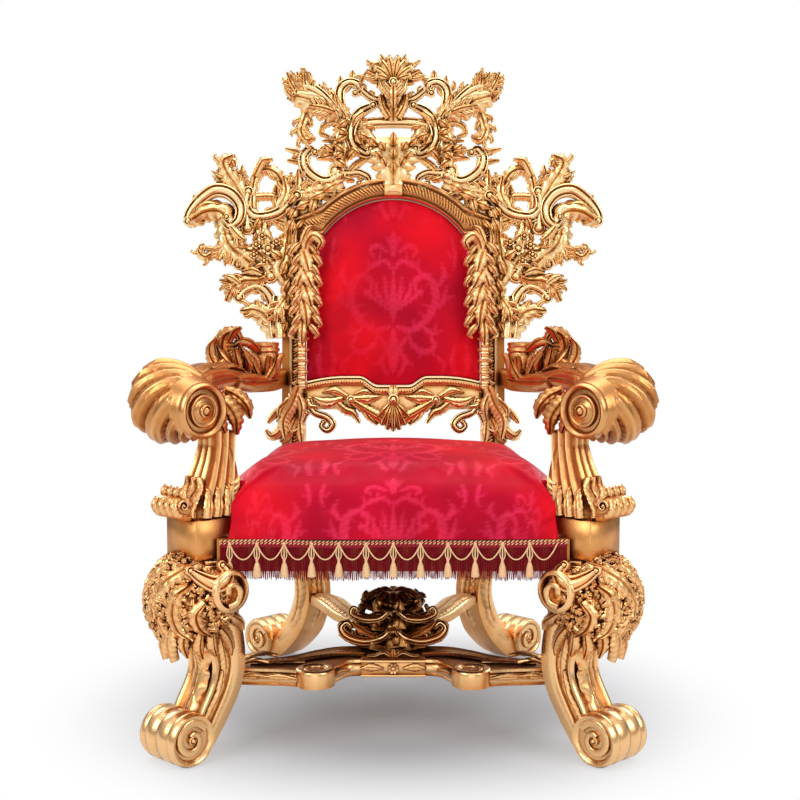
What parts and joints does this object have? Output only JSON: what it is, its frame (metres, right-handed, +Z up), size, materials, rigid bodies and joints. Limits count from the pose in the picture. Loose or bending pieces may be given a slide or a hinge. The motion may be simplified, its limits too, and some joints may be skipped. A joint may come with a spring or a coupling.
{
  "type": "throne armchair",
  "caption": "Carved gilded baroque throne with scrolled legs and arms, pierced crest and side wings, and a padded damask seat and back.",
  "frame": {"origin": "on the floor, below the middle of the throne's bounding box", "axes": "+Z up, -Y to the front where the sitter faces, +X to the right as seen from the front"},
  "size_m": [1.013, 0.9178, 1.4403],
  "materials": {
    "gilding": "burnished gold leaf over gesso on carved wood",
    "damask": "red silk damask with a woven leaf pattern",
    "bullion": "dark red bullion fringe with cream cord, swags and tassels"
  },
  "bodies": {
    "root": {"front_leg_left": "gilding", "front_leg_right": "gilding", "rear_leg_left": "gilding", "rear_leg_right": "gilding", "arm_post_left": "gilding", "arm_post_right": "gilding", "arm_left": "gilding", "arm_right": "gilding", "stile_left": "gilding", "stile_right": "gilding", "wing_left": "gilding", "wing_right": "gilding", "seat_rail_front": "gilding", "seat_rail_rear": "gilding", "seat_rail_left": "gilding", "seat_rail_right": "gilding", "back_frame": "gilding", "back_rail": "gilding", "crest": "gilding", "stretcher_front": "gilding", "stretcher_boss": "gilding", "stretcher_left": "gilding", "stretcher_right": "gilding", "seat_cushion": "damask", "back_pad": "damask", "seat_fringe_front": "bullion", "seat_fringe_left": "bullion", "seat_fringe_right": "bullion"}
  },
  "joints": []
}
